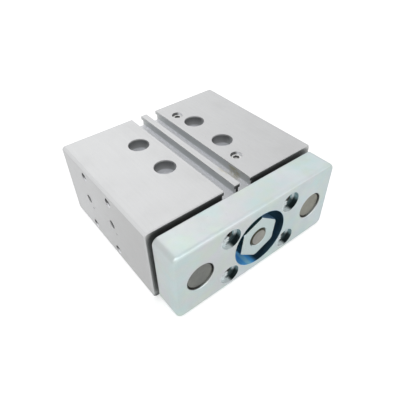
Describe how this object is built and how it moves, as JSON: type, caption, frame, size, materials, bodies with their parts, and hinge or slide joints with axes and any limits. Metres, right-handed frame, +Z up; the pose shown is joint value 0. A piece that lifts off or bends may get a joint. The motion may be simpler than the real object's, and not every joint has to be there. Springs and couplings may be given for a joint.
{
  "type": "guided pneumatic cylinder",
  "caption": "Compact double-acting guided air cylinder: aluminium housing with sensor slots, guide rods either side of the piston rod and a steel yoke plate, shown retracted.",
  "frame": {"origin": "centre of the four mounting holes on the underside of the housing", "axes": "+X across the width, +Y from the yoke plate towards the rear, +Z up"},
  "size_m": [0.083, 0.0809, 0.036],
  "materials": {
    "housing_anodised": "clear anodised extrusion, satin",
    "cap_anodised": "turned, clear anodised",
    "black_rubber": "nitrile rubber, matt",
    "spring_steel": "phosphated spring steel, dark satin",
    "seal_polyurethane": "blue polyurethane, smooth",
    "sintered_bronze": "oiled sintered bronze",
    "plug_steel": "zinc plated socket screw",
    "zinc_plated_steel": "blue passivated zinc plate with faint colour play",
    "hard_chrome": "ground and hard chromed rod",
    "stainless_rod": "rolled stainless rod",
    "zinc_nut": "zinc plated, bright faces",
    "piston_aluminium": "plain turned",
    "magnet_compound": "plastic bonded magnet",
    "wear_plastic": "natural acetal",
    "bumper_rubber": "polyurethane pad, smooth"
  },
  "bodies": {
    "housing_unit": {"housing": "housing_anodised", "front_cap": "cap_anodised", "rear_cap": "cap_anodised", "front_cap_o_ring": "black_rubber", "rear_cap_o_ring": "black_rubber", "front_circlip": "spring_steel", "rear_circlip": "spring_steel", "rod_seal": "seal_polyurethane", "rod_bush": "sintered_bronze", "left_front_guide_bush": "sintered_bronze", "left_rear_guide_bush": "sintered_bronze", "right_front_guide_bush": "sintered_bronze", "right_rear_guide_bush": "sintered_bronze", "left_guide_wiper": "black_rubber", "right_guide_wiper": "black_rubber", "front_port_plug": "plug_steel", "rear_port_plug": "plug_steel"},
    "sliding_unit": {"yoke_plate": "zinc_plated_steel", "left_guide_rod": "hard_chrome", "right_guide_rod": "hard_chrome", "piston_rod": "stainless_rod", "rod_nut": "zinc_nut", "piston_front_half": "piston_aluminium", "piston_rear_half": "piston_aluminium", "piston_magnet": "magnet_compound", "piston_wear_ring": "wear_plastic", "front_piston_seal": "seal_polyurethane", "rear_piston_seal": "seal_polyurethane", "front_bumper": "bumper_rubber", "rear_bumper": "bumper_rubber", "piston_nut": "zinc_nut"}
  },
  "joints": [
    {"name": "plate_slide", "type": "slide", "parent": "housing_unit", "child": "sliding_unit", "axis": [0, -1, 0], "range_m": [0, 0.02]}
  ]
}
